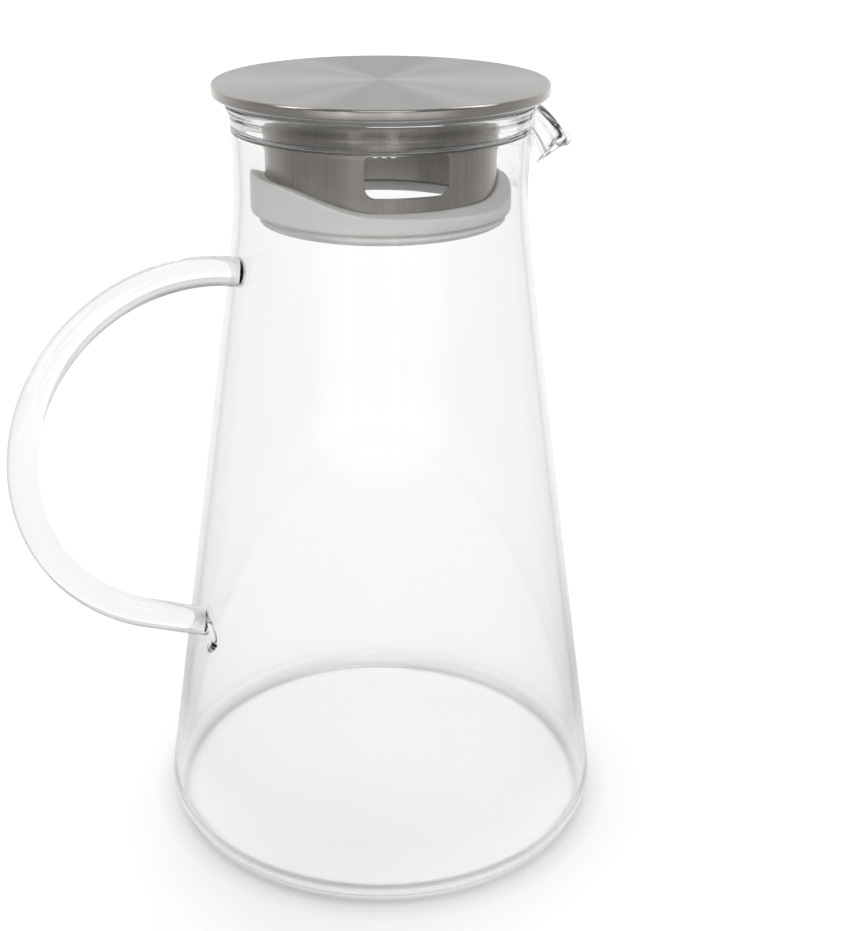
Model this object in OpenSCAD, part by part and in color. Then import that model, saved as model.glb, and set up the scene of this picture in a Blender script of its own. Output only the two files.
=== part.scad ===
// Glass pitcher with a turning, lift-off steel lid.
// Millimetres. +Z is up and z = 0 is the face that the pitcher stands on.
// The handle points to -X and the spout to +X.

/* [Glass vessel] */
// Height of the rim above the table
rim_h = 237.6; // [220:0.2:260]
// Widest outside diameter, just above the heel
belly_d = 146.6; // [138:0.2:156]
// Rounding of the outside of the heel
heel_round = 8; // [6:0.5:11]
// Narrowest outside diameter of the neck
waist_d = 88.8; // [87:0.2:92]
// Distance of the narrowest place below the rim
waist_down = 24.6; // [21:0.2:30]
// How softly the cone turns into the neck
waist_blend = 12; // [6:0.5:25]
// Outward growth of the neck's radius above its waist
neck_flare = 0.5; // [0.2:0.05:1]
// Thickness of the blown wall
wall_t = 2.4; // [1.8:0.1:3]
// Thickness of the floor
floor_t = 3.2; // [2.4:0.1:5]
// Radius of the curl that turns the rim outward
lip_round = 8; // [5:0.5:12]
// Turn of that curl, in degrees
lip_turn = 30; // [15:1:45]
// Height of the fire-polished rim, over which the wall grows inward
rim_band_h = 8.6; // [6:0.2:11]
// How much thicker the wall is in that band
rim_band_t = 1.9; // [0.5:0.1:2.2]

/* [Spout] */
// How far the drawn spout reaches out past the plain rim
spout_reach = 20; // [16:0.2:24]
// How far the spout's tip lies below the rim
spout_drop = 14.5; // [10:0.1:18]
// How much thicker the glass is at the tip, measured downwards
tip_extra = 4.1; // [1:0.1:5]
// Share of the spout's height over which it eases out of the neck
spout_ease = 0.1; // [0.05:0.01:0.4]
// Distance from the rim down to the foot of the spout, where it leaves the neck
spout_root_down = 30.6; // [28:0.1:36]
// Half of the rim's angle that the spout takes, in degrees
spout_half = 34; // [28:1:40]
// Rounding of the spout's nose as seen from above, in degrees of the rim
spout_nose = 3; // [2:0.5:6]
// Diameter of the rounded bead at the tip
tip_bead_d = 4.8; // [4:0.1:6]

/* [Handle] */
// Diameter of the solid glass rod
rod_d = 9.2; // [7:0.1:11]
// Radius of the bow, to the middle of the rod
bow_r = 56; // [46:0.5:60]
// Distance of the bow's centre from the pitcher's axis
bow_out = 60; // [56:0.5:68]
// Distance of the bow's centre below the rim
bow_down = 101.6; // [96:0.2:110]
// Angle below the horizontal at which the rod runs on straight
tail_angle = 68; // [60:1:74]
// Diameter of the fused feet on the wall
foot_d = 9.8; // [9.4:0.1:14]
// Length over which a foot spreads
foot_len = 4.5; // [3:0.1:8]

/* [Lid] */
// Height of the lid's edge
lid_edge_h = 3.8; // [3:0.1:5]
// Rounding of the lid's edge
lid_edge_round = 1; // [0.9:0.05:1.4]
// Thickness of the sheet steel of the lid
sheet_t = 0.8; // [0.5:0.05:0.9]
// How far the step that stands on the rim reaches out past the rim
step_over = 0.75; // [0.3:0.05:1.5]
// Gap between that step and the hem of the lid
hem_gap = 0.7; // [0.3:0.05:1.2]
// Width of the hem that is rolled in under the lid
hem_w = 2.4; // [1.8:0.1:3.4]
// Depth of that step below the lid's edge
lid_step = 1.5; // [1:0.1:2.5]
// Gap between the rim and the step of the lid at rest
seat_gap = 0.2; // [0.1:0.05:0.4]

/* [Pour collar] */
// Outside diameter of the collar
collar_d = 69.6; // [64:0.2:72]
// Thickness of the collar's sheet
collar_t = 0.7; // [0.5:0.05:1]
// Height of the collar below the step
collar_h = 31.7; // [28:0.1:36]
// Width of the weld flange at the collar's top
flange_w = 5; // [3:0.5:8]
// Width of the pour window, measured straight across
window_w = 24.4; // [16:0.2:30]
// Height of the pour window
window_h = 13.2; // [8:0.2:15]
// Corner rounding of the window
window_round = 3; // [1:0.1:4]
// Distance from the collar's lower edge to the window
window_up = 9.5; // [7.5:0.1:12]
// Number of strainer slots opposite the window
slot_n = 9; // [3:2:11]
// Width of one slot
slot_w = 1.6; // [1:0.1:2]
// Height of one slot
slot_h = 11.6; // [6:0.2:13]
// Distance from slot to slot
slot_pitch = 3; // [2.4:0.1:3.4]
// Turn of the collar as the lid is set down, in degrees from square to the spout
window_turn = -13; // [-40:1:40]

/* [Silicone seal] */
// Diameter over the seal's lips
seal_d = 78.8; // [76:0.2:81]
// Running clearance between seal and collar
seal_clear = 0.06; // [0.02:0.01:0.1]
// Gap below the collar's lower edge
seal_under = 0.3; // [0.2:0.05:0.6]
// Height of the seal's lower edge below the collar
seal_hang = 3.4; // [2.6:0.1:5]
// Height of the seal's low side, above the collar's lower edge
low_up = 4.3; // [3.6:0.1:6]
// Rise of the shoulders that face the handle and the spout
shoulder_rise = 5.6; // [3:0.1:8]
// Lean of the seal's upper edge, up on the handle's side
seal_lean = 1.8; // [0:0.1:2.5]
// Thickness of the seal's sleeve
sleeve_t = 2; // [1.4:0.1:2.6]
// Thickness of the lower lip
lip_t = 1.2; // [0.8:0.1:1.6]

/* [Hidden] */
$fn = 96;

// Overrun of every cut past the face that it opens
over = 1;

// Vessel: places worked out from the sizes above
belly_r = belly_d / 2;
waist_r = waist_d / 2;
heel_c = belly_r - heel_round;
cone_start = heel_round;
waist_h = rim_h - waist_down;
spout_root_h = rim_h - spout_root_down;
bow_h = rim_h - bow_down;
lip_start = rim_h - (lip_round + wall_t / 2) * sin(lip_turn) - wall_t / 2;
flare_k = neck_flare / (sqrt(pow(lip_start - waist_h, 2) + pow(waist_blend, 2)) - waist_blend);
cone_k = (belly_r - waist_r) / (sqrt(pow(waist_h - cone_start, 2) + pow(waist_blend, 2)) - waist_blend);
low_steps = 24;
neck_steps = 7;
arc_steps = 8;
lip_steps = 4;
end_steps = 6;
band_steps = 4;

// Outside radius of the blown wall at a height: a cone that eases into a slightly flared neck
function outside(h) =
    let (d = h - waist_h)
    waist_r + (d < 0 ? cone_k : flare_k) * (sqrt(d * d + waist_blend * waist_blend) - waist_blend);
// Slope of the outside there
function slope(h) =
    let (d = h - waist_h)
    (d < 0 ? cone_k : flare_k) * d / sqrt(d * d + waist_blend * waist_blend);
function inside(h) = outside(h) - wall_t * sqrt(1 + pow(slope(h), 2));
function arc_points(c, r, from, to, n) =
    [for (i = [0:n]) let (a = from + (to - from) * i / n) [c[0] + r * cos(a), c[1] + r * sin(a)]];
// A list without its two ends
function between(list) = [for (i = [1:len(list) - 2]) list[i]];

// Outline of the wall, in two parts that meet at the foot of the spout
heel_line = arc_points([heel_c, heel_round], heel_round, -90, 0, arc_steps);
outer_low = [for (i = [1:low_steps])
    let (h = cone_start + (spout_root_h - cone_start) * i / low_steps) [outside(h), h]];
outer_neck = [for (i = [0:neck_steps])
    let (h = spout_root_h + (lip_start - spout_root_h) * i / neck_steps) [outside(h), h]];
lip_c = [outside(lip_start) + lip_round, lip_start];
lip_outer = arc_points(lip_c, lip_round, 180, 180 - lip_turn, lip_steps);
lip_far = lip_round + wall_t / 2;
lip_mid = [lip_c[0] - lip_far * cos(lip_turn), lip_c[1] + lip_far * sin(lip_turn)];
lip_end = arc_points(lip_mid, wall_t / 2, -lip_turn, 90, end_steps);
band_low = rim_h - rim_band_h;
band_ease = rim_band_h / 4;
band_round = rim_band_h / 4;
// Centre of the rim's inner rounding, where the band is thicker than the wall by t
function band_mid(t) = [inside(band_low) - t + band_round, rim_h - band_round];
// Inner outline of that band: round top, straight side, and a soft run back to the plain wall
function band_line(t) = concat(
    arc_points(band_mid(t), band_round, 90, 180, band_steps),
    [[band_mid(t)[0] - band_round, (rim_h - band_round + band_low + band_ease) / 2]],
    [for (i = [0:band_steps]) let (f = i / band_steps)
        [inside(band_low) - t * (1 - f * f * (3 - 2 * f)), band_low + band_ease * (1 - f)]]
);
corner_r = heel_round - wall_t;
corner_h = floor_t + corner_r;
inner_neck = [for (i = [1:neck_steps])
    let (h = band_low + (spout_root_h - band_low) * i / neck_steps) [inside(h), h]];
inner_low = [for (i = [0:low_steps - 1])
    let (h = spout_root_h + (corner_h - spout_root_h) * i / low_steps) [inside(h), h]];
corner_c = inside(corner_h) - corner_r;
corner_line = arc_points([corner_c, corner_h], corner_r, 0, -90, arc_steps);

// Lid: heights from the rim up
step_z = rim_h + seat_gap;
edge_z = step_z + lid_step;
lid_top = edge_z + lid_edge_h;
rim_r = lip_mid[0] + wall_t / 2;
step_r = rim_r + step_over;
hem_r = step_r + hem_gap;
lid_r = hem_r + hem_w;
base_rise = edge_z + sheet_t;

// Collar and seal
collar_r = collar_d / 2;
collar_z = step_z - collar_h;
window_z = collar_z + window_up + window_h / 2;
bore_r = collar_r + seal_clear;
ledge_share = 1.3;
ledge_r = collar_r - ledge_share * collar_t;
seal_r = seal_d / 2;
seal_z = collar_z - seal_hang;
seal_steps = 72;

// Bump that is 1 in the middle of the spout and falls to 0 at its sides, with a narrow nose
function nose_run(a) = sqrt(a * a + spout_nose * spout_nose) - spout_nose;
function bump(a) = abs(a) >= spout_half ? 0 : pow(1 - nose_run(a) / nose_run(spout_half), 2);
// A point of the neck's outline drawn out and down by a bump b; side is 0 on the outside and 1 on the inside
function drawn(p, b, side) =
    let (
        s = (p[1] - spout_root_h) / (rim_h - spout_root_h),
        out = spout_reach * s * s / (s + spout_ease) * (1 + spout_ease) - wall_t * s * side / 3,
        down = (spout_drop + tip_extra) * s - tip_extra * side * pow(s, 4)
    )
    [p[0] + out * b, p[1] - down * b];
// Outline of the plain neck
neck_line = concat(outer_neck, between(lip_outer), lip_end, band_line(rim_band_t), inner_neck);
// The same drawn out into the spout, a hair inside it, rooted in the wall below and with a thinner band
spout_tuck = 0.05;
spout_thin = 0.7;
function spout_section(b) =
    let (t = rim_band_t * (1 - spout_thin * b), band = band_line(t), mid = band_mid(t))
    concat(
        [[outside(spout_root_h) - wall_t / 4, spout_root_h - over]],
        [for (p = concat(outer_neck, between(lip_outer))) drawn([p[0] - spout_tuck, p[1]], b, 0)],
        [for (i = [0:end_steps])
            drawn(lip_mid + (1 - 2 * spout_tuck / wall_t) * (lip_end[i] - lip_mid), b, i / end_steps / 2)],
        [for (i = [0:band_steps])
            drawn(mid + (1 - spout_tuck / band_round) * (band[i] - mid), b, (1 + i / band_steps) / 2)],
        [for (i = [band_steps + 1:len(band) - 1]) drawn([band[i][0] + spout_tuck, band[i][1]], b, 1)],
        [for (p = inner_neck) drawn([p[0] + spout_tuck, p[1]], b, 1)],
        [[inside(spout_root_h) + wall_t / 4, spout_root_h - over]]
    );
spout_steps = 32;
spout_lap = 1;
// Spacing of the sections at the nose, as a share of an even spacing
nose_share = 0.4;
tip = drawn(lip_mid, 1, 0.5);

module glass_vessel()
{
    angles = [for (i = [0:spout_steps]) let (t = 2 * i / spout_steps - 1)
        (spout_half + spout_lap) * t * (nose_share + (1 - nose_share) * abs(t))];
    color("lightcyan", 0.35) {
        difference() {
            rotate_extrude()
            polygon(concat([[0, 0]], heel_line, outer_low, between(neck_line), inner_low, corner_line,
                           [[0, floor_t]]));
            translate([0, 0, spout_root_h])
            linear_extrude(rim_h)
            polygon([[0, 0], [belly_r, -belly_r * tan(spout_half)], [belly_r, belly_r * tan(spout_half)]]);
        }
        radial_loft([for (a = angles) spout_section(bump(a))], angles);
        translate([tip[0] + tip_bead_d / 5, 0, tip[1]])
        sphere(d = tip_bead_d);
    }
}

// Solid from sections that stand in radial planes, one at each angle, either an open stretch or a whole ring.
// The first half of a section's points runs along one side of the wall and the second half comes back.
module radial_loft(sections, angles, ring = false)
{
    n = len(sections[0]);
    m = len(sections);
    points = [for (i = [0:m - 1]) for (p = sections[i]) [p[0] * cos(angles[i]), p[0] * sin(angles[i]), p[1]]];
    sides = [for (i = [0:m - (ring ? 1 : 2)]) for (j = [0:n - 1])
        let (k = (j + 1) % n, q = (i + 1) % m)
        each [[i * n + j, i * n + k, q * n + k], [i * n + j, q * n + k, q * n + j]]];
    last = (m - 1) * n;
    cap = [for (j = [0:floor((n - 3) / 2)]) let (k = n - 1 - j)
        each (j + 1 < k - 1 ? [[j, j + 1, k - 1], [j, k - 1, k]] : [[j, j + 1, k]])];
    ends = ring ? [] : [for (c = cap) each [[c[2], c[1], c[0]], [last + c[0], last + c[1], last + c[2]]]];
    polyhedron(points, concat(sides, ends), convexity = 6);
}

// Solid of everything inside the vessel's outer surface
module vessel_core()
{
    rotate_extrude()
    polygon(concat([[0, 0]], heel_line, outer_low, between(outer_neck), [outer_neck[neck_steps], [0, lip_start]]));
}

// Angle up the bow at which the rod's middle meets the wall, worked out in a few steps
function wall_angle(a, n) =
    n == 0 ? a : wall_angle(acos((outside(bow_h + bow_r * sin(a)) - bow_out) / bow_r), n - 1);
angle_tries = 8;
top_angle = wall_angle(tail_angle, angle_tries);
tail_x = bow_out + bow_r * cos(tail_angle);
tail_z = bow_h - bow_r * sin(tail_angle);
// Length of the straight tail from the end of the bow to the wall
function tail_run(l, n) =
    n == 0 ? l : tail_run((tail_x - outside(tail_z - l * cos(tail_angle))) / sin(tail_angle), n - 1);
tail_len = tail_run(bow_r / 3, angle_tries);
// How far the rod's ends run into the wall before they are cut to it
foot_in = 2 * wall_t;

// Straight end of the rod along +Z, a hair thinner than the bow, with a foot that spreads to the wall at l
end_slim = 0.03;
module rod_end(l)
{
    r = rod_d / 2 - end_slim;
    rotate_extrude()
    polygon([[0, -over], [r, -over], [r, l - foot_len], [foot_d / 2, l], [foot_d / 2, l + foot_in],
             [0, l + foot_in]]);
}

module handle()
{
    end_len = 1.5 * foot_len;
    bow_end = top_angle - end_len / bow_r * 180 / PI;
    color("lightcyan", 0.35)
    difference() {
        union() {
            translate([-bow_out, 0, bow_h])
            rotate([90, 0, 180])
            rotate([0, 0, -tail_angle])
            rotate_extrude(angle = tail_angle + bow_end)
            translate([bow_r, 0])
            circle(d = rod_d);
            translate([-bow_out - bow_r * cos(bow_end), 0, bow_h + bow_r * sin(bow_end)])
            rotate([0, bow_end, 0])
            rod_end(end_len);
            translate([-tail_x, 0, tail_z])
            rotate([0, 180 - tail_angle, 0])
            rod_end(tail_len);
        }
        vessel_core();
    }
}

// Pressed top of the lid, with its edge rolled round and hemmed in
module lid_cap()
{
    r = lid_edge_round;
    color("silver")
    rotate_extrude()
    polygon(concat(
        [[0, lid_top - sheet_t], [0, lid_top]],
        arc_points([lid_r - r, lid_top - r], r, 90, 0, arc_steps),
        arc_points([lid_r - r, edge_z + r], r, 0, -90, arc_steps),
        [[hem_r, edge_z], [hem_r, base_rise]],
        arc_points([lid_r - r, edge_z + r], r - sheet_t, -90, 0, arc_steps),
        arc_points([lid_r - r, lid_top - r], r - sheet_t, 0, 90, arc_steps)
    ));
}

// Dished underside, whose flange lies on the lid's hem and whose step stands on the rim
module lid_base()
{
    flange_r = lid_r - 2 * sheet_t;
    color("silver")
    rotate_extrude()
    polygon([[0, step_z], [step_r, step_z], [step_r, base_rise], [flange_r, base_rise],
             [flange_r, base_rise + sheet_t], [step_r - sheet_t, base_rise + sheet_t],
             [step_r - sheet_t, step_z + sheet_t], [0, step_z + sheet_t]]);
}

// Rounded rectangle about the origin
module rounded(w, h, r)
{
    square([w - 2 * r, h], center = true);
    square([w, h - 2 * r], center = true);
    for (x = [-1, 1])
        for (y = [-1, 1])
            translate([x * (w / 2 - r), y * (h / 2 - r)])
            circle(r);
}

// Slot with round ends, upright about the origin
module slot()
{
    square([slot_w, slot_h - slot_w], center = true);
    for (y = [-1, 1])
        translate([0, y * (slot_h - slot_w) / 2])
        circle(d = slot_w);
}

// Cut through the collar's wall on one side, at an angle from -Y
module wall_cut(angle)
{
    rotate([0, 0, angle])
    rotate([90, 0, 0])
    translate([0, window_z, collar_r / 2])
    linear_extrude(collar_r / 2 + over)
    children();
}

// Tube with a pour window on one side and a row of strainer slots on the other
module pour_collar()
{
    color("gray")
    difference() {
        rotate_extrude()
        polygon([[collar_r, collar_z], [collar_r, step_z], [collar_r - flange_w, step_z],
                 [collar_r - flange_w, step_z - collar_t], [collar_r - collar_t, step_z - collar_t],
                 [collar_r - collar_t, collar_z]]);
        wall_cut(window_turn)
        rounded(window_w, window_h, window_round);
        for (i = [0:slot_n - 1])
            wall_cut(180 + window_turn + (i - (slot_n - 1) / 2) * slot_pitch / collar_r * 180 / PI)
            slot();
    }
}

// The seal is lowest within this angle of the pour sides and highest beyond the second one, in degrees
seal_low_half = 28;
seal_high_half = 76;
// Share of the shoulder's rise that the seal's root follows
root_share = 0.9;
// Share of the shoulder's height at an angle from +X: 0 beside the pour sides, 1 towards handle and spout
function shoulder_share(a) =
    let (d = abs((a % 180) - 90), t = min(1, max(0, (d - seal_low_half) / (seal_high_half - seal_low_half))))
    t * t * (3 - 2 * t);

// Section of the seal at an angle: sleeve, lower lip, groove and the wavy upper lip
function seal_section(a) =
    let (
        w = shoulder_share(a),
        top = collar_z + low_up + shoulder_rise * w - seal_lean * cos(a),
        root = collar_z + low_up + lip_t + shoulder_rise * w * root_share,
        groove = collar_z - lip_t / 4,
        lower_r = seal_r - lip_t / 3 - sleeve_t * w
    )
    [[ledge_r - over, seal_z],
     [collar_r + sleeve_t, seal_z],
     [lower_r - lip_t / 4, seal_z + lip_t],
     [lower_r, seal_z + lip_t + lip_t / 2],
     [lower_r - lip_t / 4, seal_z + 2 * lip_t],
     [seal_r - sleeve_t, groove],
     [seal_r - lip_t / 5, groove + lip_t / 4],
     [seal_r, groove + lip_t],
     [seal_r, top - lip_t / 2],
     [seal_r - lip_t / 3, top],
     [seal_r - sleeve_t, (2 * top + root) / 3],
     [collar_r + sleeve_t / 2, root],
     [ledge_r - over, root]];

module seal_ring()
{
    angles = [for (i = [0:seal_steps - 1]) 360 * i / seal_steps];
    color("gainsboro")
    difference() {
        radial_loft([for (a = angles) seal_section(a)], angles, ring = true);
        translate([0, 0, collar_z - seal_under])
        cylinder(r = bore_r, h = rim_h - collar_z);
        translate([0, 0, seal_z - over])
        cylinder(r = ledge_r, h = rim_h - seal_z);
    }
}

glass_vessel();
handle();
seal_ring();
lid_cap();
lid_base();
pour_collar();
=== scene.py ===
# Visual model of the glass pitcher with lid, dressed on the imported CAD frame. Metres, +Z up.
import math

import bmesh
import bpy
import numpy as np
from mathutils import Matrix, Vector


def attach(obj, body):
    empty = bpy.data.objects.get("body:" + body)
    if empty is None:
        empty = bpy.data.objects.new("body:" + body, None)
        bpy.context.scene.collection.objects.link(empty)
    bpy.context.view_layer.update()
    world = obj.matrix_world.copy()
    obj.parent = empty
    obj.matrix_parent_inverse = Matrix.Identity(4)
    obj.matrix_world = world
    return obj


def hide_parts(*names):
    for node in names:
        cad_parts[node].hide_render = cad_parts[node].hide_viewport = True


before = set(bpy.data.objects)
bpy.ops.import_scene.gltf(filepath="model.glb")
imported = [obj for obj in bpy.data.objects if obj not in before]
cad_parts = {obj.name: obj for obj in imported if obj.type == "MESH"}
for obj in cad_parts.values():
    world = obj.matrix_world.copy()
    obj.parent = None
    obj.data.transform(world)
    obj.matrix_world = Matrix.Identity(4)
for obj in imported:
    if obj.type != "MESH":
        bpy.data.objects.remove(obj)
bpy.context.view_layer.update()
MM = 0.001

# ---------------------------------------------------------------- sizes, as in part.scad (mm)
RIM_H, BELLY_R, HEEL, WAIST_R, WAIST_H, BLEND, FLARE = 237.6, 73.3, 8.0, 44.4, 213.0, 12.0, 0.5
WALL, FLOOR, LIP, LIP_TURN = 2.4, 3.2, 8.0, 30.0
REACH, DROP, TIP_EXTRA, EASE, ROOT_H, HALF, NOSE, BEAD = 20.0, 14.5, 4.1, 0.1, 207.0, 34.0, 3.0, 4.8
RIM_BAND, RIM_EXTRA, SPOUT_THIN = 8.6, 1.9, 0.7
FUSE_GAP, FUSE_R = 0.04, 2.3   # crease round a fused foot, and radius of its fused middle
BOW_R, BOW_OUT, BOW_H, TAIL = 56.0, 60.0, 136.0, 68.0
LID_R, LID_EDGE, EDGE_R, SHEET, HEM, STEP_R, STEP, SEAT = 49.983, 3.8, 1.0, 0.8, 2.4, 46.883, 1.5, 0.2
COLLAR_R, COLLAR_T, COLLAR_H, FLANGE = 34.8, 0.7, 31.7, 5.0
WIN_W, WIN_H, WIN_R, WIN_UP, WIN_TURN = 24.4, 13.2, 3.0, 9.5, -13.0
SLOTS, SLOT_W, SLOT_H, SLOT_PITCH = 9, 1.6, 11.6, 3.0
SEAL_R, SEAL_CLEAR, SEAL_UNDER, SEAL_HANG = 39.4, 0.06, 0.3, 3.4
LOW_UP, SHOULDER, LEAN, SLEEVE, LIP_T = 4.3, 5.6, 1.8, 2.0, 1.2

LIP_START = RIM_H - (LIP + WALL / 2) * math.sin(math.radians(LIP_TURN)) - WALL / 2
FLARE_K = FLARE / (math.hypot(LIP_START - WAIST_H, BLEND) - BLEND)
CONE_K = (BELLY_R - WAIST_R) / (math.hypot(WAIST_H - HEEL, BLEND) - BLEND)


def outside(h):
    """Outer radius of the vessel at a height, before the rim curls out (mm)."""
    d = h - WAIST_H
    return WAIST_R + (CONE_K if d < 0 else FLARE_K) * (math.hypot(d, BLEND) - BLEND)


def slope(h):
    """How fast the outer radius grows with height."""
    d = h - WAIST_H
    return (CONE_K if d < 0 else FLARE_K) * d / math.hypot(d, BLEND)


def inside(h):
    """Inner radius at a height, with the wall's thickness square to the wall (mm)."""
    return outside(h) - WALL * math.sqrt(1 + slope(h) ** 2)


def arc(c, r, a0, a1, n):
    """n + 1 points on a circle from angle a0 to a1 in degrees."""
    return [(c[0] + r * math.cos(math.radians(a0 + (a1 - a0) * i / n)),
             c[1] + r * math.sin(math.radians(a0 + (a1 - a0) * i / n))) for i in range(n + 1)]


# ---------------------------------------------------------------- mesh helpers
def add_mesh(name, verts, faces, body=None, slot=None, smooth=True):
    """New object from vertices in m, which rides on a body; slot is not used."""
    me = bpy.data.meshes.new(name)
    me.from_pydata([tuple(v) for v in verts], [], faces)
    me.validate()
    if smooth:
        me.polygons.foreach_set("use_smooth", [True] * len(me.polygons))
    ob = bpy.data.objects.new(name, me)
    bpy.context.scene.collection.objects.link(ob)
    if body:
        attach(ob, body)
    return ob


def lathe(points, n, closed=False):
    """Vertices and faces of a revolve of (r, z) in mm; a point with r 0 becomes a pole."""
    verts, rows = [], []
    for r, z in points:
        if r < 1e-6:
            rows.append([len(verts)] * n)
            verts.append((0.0, 0.0, z * MM))
        else:
            rows.append(list(range(len(verts), len(verts) + n)))
            for k in range(n):
                a = 2 * math.pi * k / n
                verts.append((r * MM * math.cos(a), r * MM * math.sin(a), z * MM))
    faces = []
    for lo, hi in zip(rows, rows[1:] + ([rows[0]] if closed else [])):
        for k in range(n):
            q = (k + 1) % n
            f = []
            for v in (lo[k], lo[q], hi[q], hi[k]):
                if v not in f:
                    f.append(v)
            if len(f) > 2:
                faces.append(f)
    return verts, faces


# ---------------------------------------------------------------- vessel with drawn spout
def nose_run(a):
    """Degrees from the spout's middle, flattened over NOSE so that the spout has a round nose."""
    return math.hypot(a, NOSE) - NOSE


def bump(a):
    """How far the spout is drawn out at an angle: 1 in its middle, 0 beside it."""
    return 0.0 if abs(a) >= HALF else (1 - nose_run(a) / nose_run(HALF)) ** 2


def drawn(p, b, side):
    """Point (r, z) of the section moved out and down by the spout; side is 0 outside, 1 inside."""
    s = (p[1] - ROOT_H) / (RIM_H - ROOT_H)
    if s <= 0 or b == 0:
        return p
    out = REACH * s * s / (s + EASE) * (1 + EASE) - WALL * s * side / 3
    down = (DROP + TIP_EXTRA) * s - TIP_EXTRA * side * s ** 4
    return (p[0] + out * b, p[1] - down * b)


LIP_C = (outside(LIP_START) + LIP, LIP_START)
LIP_T30 = math.radians(LIP_TURN)
LIP_MID = (LIP_C[0] - (LIP + WALL / 2) * math.cos(LIP_T30), LIP_C[1] + (LIP + WALL / 2) * math.sin(LIP_T30))
BAND_LOW = RIM_H - RIM_BAND


def vessel_section(extra):
    """List of (r, z, side) from the bottom centre, up the outside, over the rim, down the inside.
    The last RIM_BAND mm below the rim are thicker by extra, as fire-polished rims are."""
    flat = BELLY_R - HEEL
    pts = [(0.0, 0.0, 0.0)]
    pts += [(flat * t, 0.0, 0.0) for t in (0.25, 0.5, 0.75, 0.9)]
    pts += [(r, z, 0.0) for r, z in arc((flat, HEEL), HEEL, -90, 0, 16)]
    zs = [HEEL + (ROOT_H - HEEL) * i / 60 for i in range(1, 60)]
    zs += [ROOT_H + (LIP_START - ROOT_H) * i / 24 for i in range(0, 24)]
    pts += [(outside(h), h, 0.0) for h in zs]
    pts += [(r, z, 0.0) for r, z in arc(LIP_C, LIP, 180, 180 - LIP_TURN, 8)[:-1]]
    pts += [(r, z, i / 24) for i, (r, z) in enumerate(arc(LIP_MID, WALL / 2, -LIP_TURN, 90, 12))]
    ease = RIM_BAND / 4
    inner = inside(BAND_LOW) - extra
    top = arc((inner + ease, RIM_H - ease), ease, 90, 180, 12)
    pts += [(r, z, 0.5 + i / 24) for i, (r, z) in enumerate(top)]
    straight = RIM_BAND - 2 * ease
    pts += [(inner, RIM_H - ease - straight * i / 6, 1.0) for i in range(1, 6)]
    for i in range(17):
        t = i / 16
        pts.append((inner + extra * t * t * (3 - 2 * t), BAND_LOW + ease * (1 - t), 1.0))
    cr = HEEL - WALL
    ch = FLOOR + cr
    zs = [BAND_LOW + (ROOT_H - BAND_LOW) * i / 24 for i in range(1, 25)]
    zs += [ROOT_H + (ch - ROOT_H) * i / 60 for i in range(1, 60)]
    pts += [(inside(h), h, 1.0) for h in zs]
    cc = (inside(ch) - cr, ch)
    pts += [(r, z, 1.0) for r, z in arc(cc, cr, 0, -90, 14)]
    pts += [(cc[0] * t, FLOOR, 1.0) for t in (0.9, 0.75, 0.5, 0.25)]
    pts += [(0.0, FLOOR, 1.0)]
    return pts


TIP = drawn(LIP_MID, 1.0, 0.5)


def vessel_mesh(fine=176, coarse=232):
    """Revolve with the spout drawn out of it; the sections stand closer where the spout is."""
    side = HALF + 4
    turns = [side * (2 * i / fine - 1) for i in range(fine)]
    turns = [t * (0.5 + 0.5 * abs(t) / side) for t in turns]
    turns += [side + (360 - 2 * side) * i / coarse for i in range(coarse)]
    turns = [t - 360 if t > 180 else t for t in turns]
    faces = lathe([(r, z) for r, z, _ in vessel_section(RIM_EXTRA)], fine + coarse)[1]
    sections = [vessel_section(RIM_EXTRA * (1 - SPOUT_THIN * bump(a))) for a in turns]
    verts = []
    for k, (r, _, side) in enumerate(sections[0]):
        if r < 1e-6:
            verts.append((0.0, 0.0, sections[0][k][1] * MM))
            continue
        for a, section in zip(turns, sections):
            rr, zz = drawn(section[k][:2], bump(a), side)
            t = math.radians(a)
            verts.append((rr * MM * math.cos(t), rr * MM * math.sin(t), zz * MM))
    return verts, faces


# ---------------------------------------------------------------- handle rod
ROD_STEP = 1.2                        # mm between the rod's rings
ROD_IN_TOP, ROD_IN_LOW = 1.4, 1.3     # how far its ends reach into the wall
# radius of the hand-drawn rod at runs (mm) from its upper end, from its middle and before its lower end
ROD_START = [(0, 4.3), (1.6, 4.5), (3.4, 4.5), (7, 4.4), (20, 4.6), (50, 4.5)]
ROD_MIDDLE = 4.35
ROD_END = [(45, 4.45), (22, 4.55), (9, 4.6), (3.6, 4.6), (1.6, 4.6), (0, 4.4)]


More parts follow.
